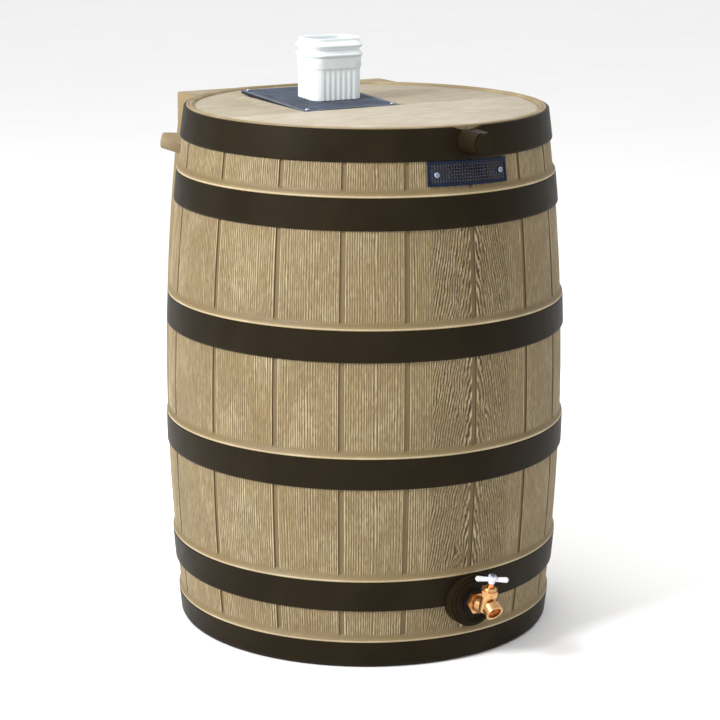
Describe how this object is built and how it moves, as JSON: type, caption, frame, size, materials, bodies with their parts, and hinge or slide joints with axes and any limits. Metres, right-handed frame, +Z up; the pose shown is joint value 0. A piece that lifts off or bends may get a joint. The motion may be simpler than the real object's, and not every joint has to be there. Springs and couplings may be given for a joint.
{
  "type": "rain barrel",
  "caption": "Flat-backed rain barrel with dark hoops, a mesh-covered inlet, an overflow screen and a brass hose spigot, with a downspout end standing on the inlet.",
  "frame": {"origin": "on the barrel's axis at the underside of its base, where it rests on the floor", "axes": "+Z up along the barrel's axis, -Y to the front where the spigot is, +Y to the flat back that stands against a wall, +X to the right seen from the front"},
  "size_m": [0.6176, 0.6406, 0.896],
  "materials": {
    "tank_plastic": "woodgrain textured, matt",
    "hoop_plastic": "satin",
    "inlet_mesh": "satin mesh",
    "overflow_mesh": "satin mesh",
    "screw_steel": "plated",
    "cast_brass": "cast, polished edges",
    "copper_stem": "turned",
    "black_rubber": "matt",
    "white_handle": "gloss",
    "white_vinyl": "gloss"
  },
  "bodies": {
    "barrel": {"tank_shell": "tank_plastic", "rim_hoop": "hoop_plastic", "upper_hoop": "hoop_plastic", "upper_middle_hoop": "hoop_plastic", "lower_middle_hoop": "hoop_plastic", "lower_hoop": "hoop_plastic", "base_hoop": "hoop_plastic", "inlet_screen": "inlet_mesh", "inlet_screen_screws": "screw_steel", "overflow_screen": "overflow_mesh", "overflow_screen_screws": "screw_steel", "spigot_insert": "cast_brass", "spigot_gasket": "black_rubber", "spigot_body": "cast_brass", "spigot_bonnet": "cast_brass", "stem_packing": "black_rubber"},
    "seat_carrier": {"seat_washer": "black_rubber"},
    "valve_handle": {"valve_stem": "copper_stem", "seat_washer_screw": "cast_brass", "tee_handle": "white_handle", "handle_screw": "screw_steel"},
    "downspout": {"downspout_end": "white_vinyl", "downspout_bellows": "white_vinyl"}
  },
  "joints": [
    {"name": "seat_lift", "type": "slide", "parent": "barrel", "child": "seat_carrier", "axis": [0, -0.2756, 0.9613], "range_m": [0, 0.0036]},
    {"name": "handle_turn", "type": "hinge", "parent": "seat_carrier", "child": "valve_handle", "pos_m": [0, -0.347, 0.107], "axis": [0, -0.2756, 0.9613], "range_deg": [0, 720]},
    {"name": "downspout_lift", "type": "slide", "parent": "barrel", "child": "downspout", "axis": [0, 0, 1], "range_m": [0, 0.12]}
  ],
  "couplings": [
    {"joint": "seat_lift", "follows": "handle_turn", "m_per_rad": 0.00028647}
  ]
}
